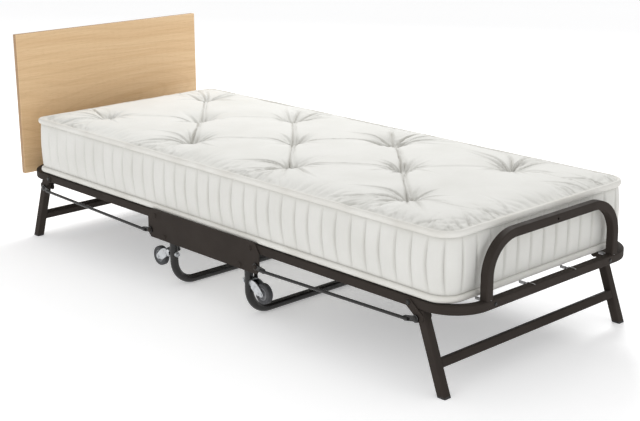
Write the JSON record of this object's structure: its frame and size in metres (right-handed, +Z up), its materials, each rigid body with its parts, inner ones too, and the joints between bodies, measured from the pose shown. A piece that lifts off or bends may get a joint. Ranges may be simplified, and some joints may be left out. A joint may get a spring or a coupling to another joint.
{
  "type": "rollaway bed",
  "caption": "Folding guest bed on castors: steel half frames hinged to a central carriage, auto-folding end legs, tufted mattress and headboard.",
  "frame": {"origin": "bottom centre of the whole bed's bounding box, on the floor", "axes": "+X from the head to the foot, +Y to the right seen from the foot, +Z up"},
  "size_m": [1.976, 0.7876, 0.686],
  "materials": {
    "frame_paint": "satin brown-black powder coat",
    "black_zinc": "black passivated zinc",
    "zinc_plate": "bright zinc plate",
    "spring_steel": "oiled spring steel",
    "tyre_rubber": "dark grey tread",
    "hub_plastic": "grey moulded plastic",
    "cap_plastic": "black moulded plastic",
    "board_oak": "satin oak-effect board",
    "deck_cloth": "woven polypropylene",
    "mattress_ticking": "cream woven ticking, tufted"
  },
  "bodies": {
    "carriage": {"side_plate_left": "frame_paint", "side_plate_right": "frame_paint", "head_carriage_tube": "frame_paint", "foot_carriage_tube": "frame_paint", "carriage_bolts": "black_zinc", "centre_leg_bushes": "cap_plastic", "mattress_middle": "mattress_ticking"},
    "head_frame": {"head_side_rail": "frame_paint", "head_inner_tube": "frame_paint", "head_leg_pivot_pins": "black_zinc", "headboard_hoop": "frame_paint", "head_deck": "deck_cloth", "head_hem_wire": "spring_steel", "head_deck_springs": "spring_steel", "headboard": "board_oak", "headboard_strips": "frame_paint", "headboard_bolts": "black_zinc", "mattress_head": "mattress_ticking"},
    "foot_frame": {"foot_side_rail": "frame_paint", "foot_inner_tube": "frame_paint", "foot_leg_pivot_pins": "black_zinc", "foot_guard_hoop": "frame_paint", "foot_guard_bolts": "black_zinc", "foot_deck": "deck_cloth", "foot_hem_wire": "spring_steel", "foot_deck_springs": "spring_steel", "mattress_foot": "mattress_ticking"},
    "head_legs": {"head_leg_left": "frame_paint", "head_leg_right": "frame_paint", "head_leg_bar": "frame_paint", "head_leg_brackets": "frame_paint", "head_leg_caps": "cap_plastic"},
    "head_rods": {"head_leg_rods": "frame_paint", "head_rod_pins": "black_zinc"},
    "head_hoop": {"head_centre_leg": "frame_paint", "head_castor_stems": "zinc_plate"},
    "head_links": {"head_drive_links": "frame_paint"},
    "head_castor_left": {"head_castor_fork_left": "zinc_plate"},
    "head_wheel_left": {"head_castor_tyre_left": "tyre_rubber", "head_castor_hub_left": "hub_plastic"},
    "head_castor_right": {"head_castor_fork_right": "zinc_plate"},
    "head_wheel_right": {"head_castor_tyre_right": "tyre_rubber", "head_castor_hub_right": "hub_plastic"},
    "foot_legs": {"foot_leg_left": "frame_paint", "foot_leg_right": "frame_paint", "foot_leg_bar": "frame_paint", "foot_leg_brackets": "frame_paint", "foot_leg_caps": "cap_plastic"},
    "foot_rods": {"foot_leg_rods": "frame_paint", "foot_rod_pins": "black_zinc"},
    "foot_hoop": {"foot_centre_leg": "frame_paint", "foot_castor_stems": "zinc_plate"},
    "foot_links": {"foot_drive_links": "frame_paint"},
    "foot_castor_left": {"foot_castor_fork_left": "zinc_plate"},
    "foot_wheel_left": {"foot_castor_tyre_left": "tyre_rubber", "foot_castor_hub_left": "hub_plastic"},
    "foot_castor_right": {"foot_castor_fork_right": "zinc_plate"},
    "foot_wheel_right": {"foot_castor_tyre_right": "tyre_rubber", "foot_castor_hub_right": "hub_plastic"}
  },
  "joints": [
    {"name": "head_fold", "type": "hinge", "parent": "carriage", "child": "head_frame", "pos_m": [-0.21, 0, 0.223], "axis": [0, 1, 0], "range_deg": [0, 90], "deforming": ["mattress_middle"]},
    {"name": "foot_fold", "type": "hinge", "parent": "carriage", "child": "foot_frame", "pos_m": [0.23, 0, 0.223], "axis": [0, -1, 0], "range_deg": [0, 90]},
    {"name": "head_legs_fold", "type": "hinge", "parent": "head_frame", "child": "head_legs", "pos_m": [-0.8072, 0, 0.223], "axis": [0, -1, 0], "range_deg": [0, 110.2]},
    {"name": "head_rods_swing", "type": "hinge", "parent": "carriage", "child": "head_rods", "pos_m": [-0.235, 0, 0.175], "axis": [0, 1, 0], "range_deg": [0, 90]},
    {"name": "head_centre_leg_fold", "type": "hinge", "parent": "carriage", "child": "head_hoop", "pos_m": [-0.165, 0, 0.165], "axis": [0, -1, 0], "range_deg": [0, 90]},
    {"name": "head_links_swing", "type": "hinge", "parent": "head_hoop", "child": "head_links", "pos_m": [-0.1705, 0, 0.1153], "axis": [0, 1, 0], "range_deg": [0, 34.1]},
    {"name": "head_castor_swivel_left", "type": "hinge", "parent": "head_hoop", "child": "head_castor_left", "pos_m": [-0.19, -0.352, 0.107], "axis": [1, 0, 0], "continuous": true},
    {"name": "head_wheel_spin_left", "type": "hinge", "parent": "head_castor_left", "child": "head_wheel_left", "pos_m": [-0.23, -0.352, 0.086], "axis": [0, 1, 0], "continuous": true},
    {"name": "head_castor_swivel_right", "type": "hinge", "parent": "head_hoop", "child": "head_castor_right", "pos_m": [-0.19, 0.352, 0.107], "axis": [1, 0, 0], "continuous": true},
    {"name": "head_wheel_spin_right", "type": "hinge", "parent": "head_castor_right", "child": "head_wheel_right", "pos_m": [-0.23, 0.352, 0.086], "axis": [0, 1, 0], "continuous": true},
    {"name": "foot_legs_fold", "type": "hinge", "parent": "foot_frame", "child": "foot_legs", "pos_m": [0.8272, 0, 0.223], "axis": [0, 1, 0], "range_deg": [0, 110.2]},
    {"name": "foot_rods_swing", "type": "hinge", "parent": "carriage", "child": "foot_rods", "pos_m": [0.255, 0, 0.175], "axis": [0, -1, 0], "range_deg": [0, 90]},
    {"name": "foot_centre_leg_fold", "type": "hinge", "parent": "carriage", "child": "foot_hoop", "pos_m": [0.185, 0, 0.165], "axis": [0, 1, 0], "range_deg": [0, 90]},
    {"name": "foot_links_swing", "type": "hinge", "parent": "foot_hoop", "child": "foot_links", "pos_m": [0.1905, 0, 0.1153], "axis": [0, -1, 0], "range_deg": [0, 34.1]},
    {"name": "foot_castor_swivel_left", "type": "hinge", "parent": "foot_hoop", "child": "foot_castor_left", "pos_m": [0.21, -0.352, 0.107], "axis": [1, 0, 0], "continuous": true},
    {"name": "foot_wheel_spin_left", "type": "hinge", "parent": "foot_castor_left", "child": "foot_wheel_left", "pos_m": [0.25, -0.352, 0.086], "axis": [0, 1, 0], "continuous": true},
    {"name": "foot_castor_swivel_right", "type": "hinge", "parent": "foot_hoop", "child": "foot_castor_right", "pos_m": [0.21, 0.352, 0.107], "axis": [1, 0, 0], "continuous": true},
    {"name": "foot_wheel_spin_right", "type": "hinge", "parent": "foot_castor_right", "child": "foot_wheel_right", "pos_m": [0.25, 0.352, 0.086], "axis": [0, 1, 0], "continuous": true}
  ],
  "couplings": [
    {"joint": "head_legs_fold", "follows": "head_fold", "ratio": 1.2244},
    {"joint": "head_rods_swing", "follows": "head_fold", "ratio": 1},
    {"joint": "head_centre_leg_fold", "follows": "head_fold", "ratio": 1},
    {"joint": "head_links_swing", "follows": "head_fold", "ratio": 0.378},
    {"joint": "foot_legs_fold", "follows": "foot_fold", "ratio": 1.2244},
    {"joint": "foot_rods_swing", "follows": "foot_fold", "ratio": 1},
    {"joint": "foot_centre_leg_fold", "follows": "foot_fold", "ratio": 1},
    {"joint": "foot_links_swing", "follows": "foot_fold", "ratio": 0.378}
  ]
}
